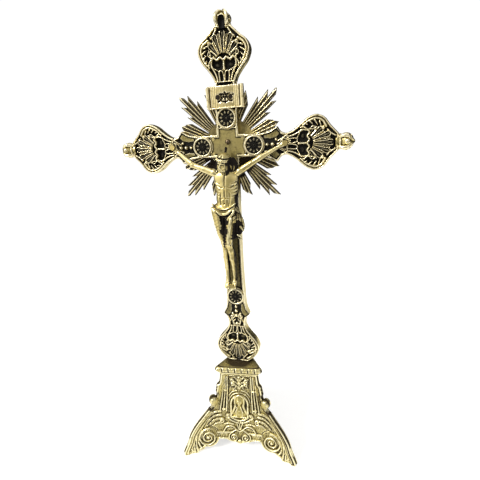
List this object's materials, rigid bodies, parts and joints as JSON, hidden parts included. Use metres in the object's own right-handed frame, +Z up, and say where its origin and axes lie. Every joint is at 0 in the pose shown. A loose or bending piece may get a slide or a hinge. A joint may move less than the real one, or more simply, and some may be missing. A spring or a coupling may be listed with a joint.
{
  "type": "altar cross",
  "caption": "Standing altar crucifix: shell-ended cross with a sunburst and corpus, clamped by a stud to a hollow three-legged scrolled base.",
  "frame": {"origin": "on the table plane, under the axis of the stud that clamps the cross to its base", "axes": "+Z up along the stud and the upright; the corpus faces -Y; +X is the viewer's right"},
  "size_m": [0.1902, 0.1017, 0.3821],
  "materials": {
    "cross_brass": "antiqued cast brass: pale rubbed edges, near-black brown recesses",
    "glory_brass": "antiqued cast brass with dark grooves between the rays",
    "titulus_brass": "rubbed pale brass, lightly toned",
    "corpus_brass": "rubbed bright on the high forms, dark in the folds",
    "base_brass": "light olive gold, thinly toned in the recesses",
    "fixing_brass": "peened brass, toned dark around the edge",
    "clamp_steel": "plain dulled steel"
  },
  "bodies": {
    "base": {"base_cap": "base_brass", "panel_front": "base_brass", "panel_rear_right": "base_brass", "panel_rear_left": "base_brass", "rib_rear": "base_brass", "rib_front_left": "base_brass", "rib_front_right": "base_brass", "tie_bridge": "clamp_steel", "tie_washer": "clamp_steel"},
    "cross": {"cross_casting": "cross_brass", "rosette_left": "cross_brass", "rosette_right": "cross_brass", "rosette_top": "cross_brass", "rosette_bottom": "cross_brass", "glory_plate": "glory_brass", "glory_rivets": "fixing_brass", "centre_stud": "fixing_brass", "titulus_scroll": "titulus_brass", "titulus_rivets": "fixing_brass", "finial_left": "cross_brass", "finial_right": "cross_brass", "finial_top": "cross_brass", "corpus_body": "corpus_brass", "corpus_arm_left": "corpus_brass", "corpus_arm_right": "corpus_brass", "nail_left_hand": "fixing_brass", "nail_right_hand": "fixing_brass", "nail_feet": "fixing_brass", "tie_stud": "clamp_steel"},
    "nut": {"tie_nut": "clamp_steel"}
  },
  "joints": [
    {"name": "cross_turn", "type": "hinge", "parent": "base", "child": "cross", "pos_m": [0, 0, 0.0915], "axis": [0, 0, 1], "continuous": true},
    {"name": "nut_turn", "type": "hinge", "parent": "cross", "child": "nut", "pos_m": [0, 0, 0.0254], "axis": [0, 0, 1], "continuous": true}
  ]
}
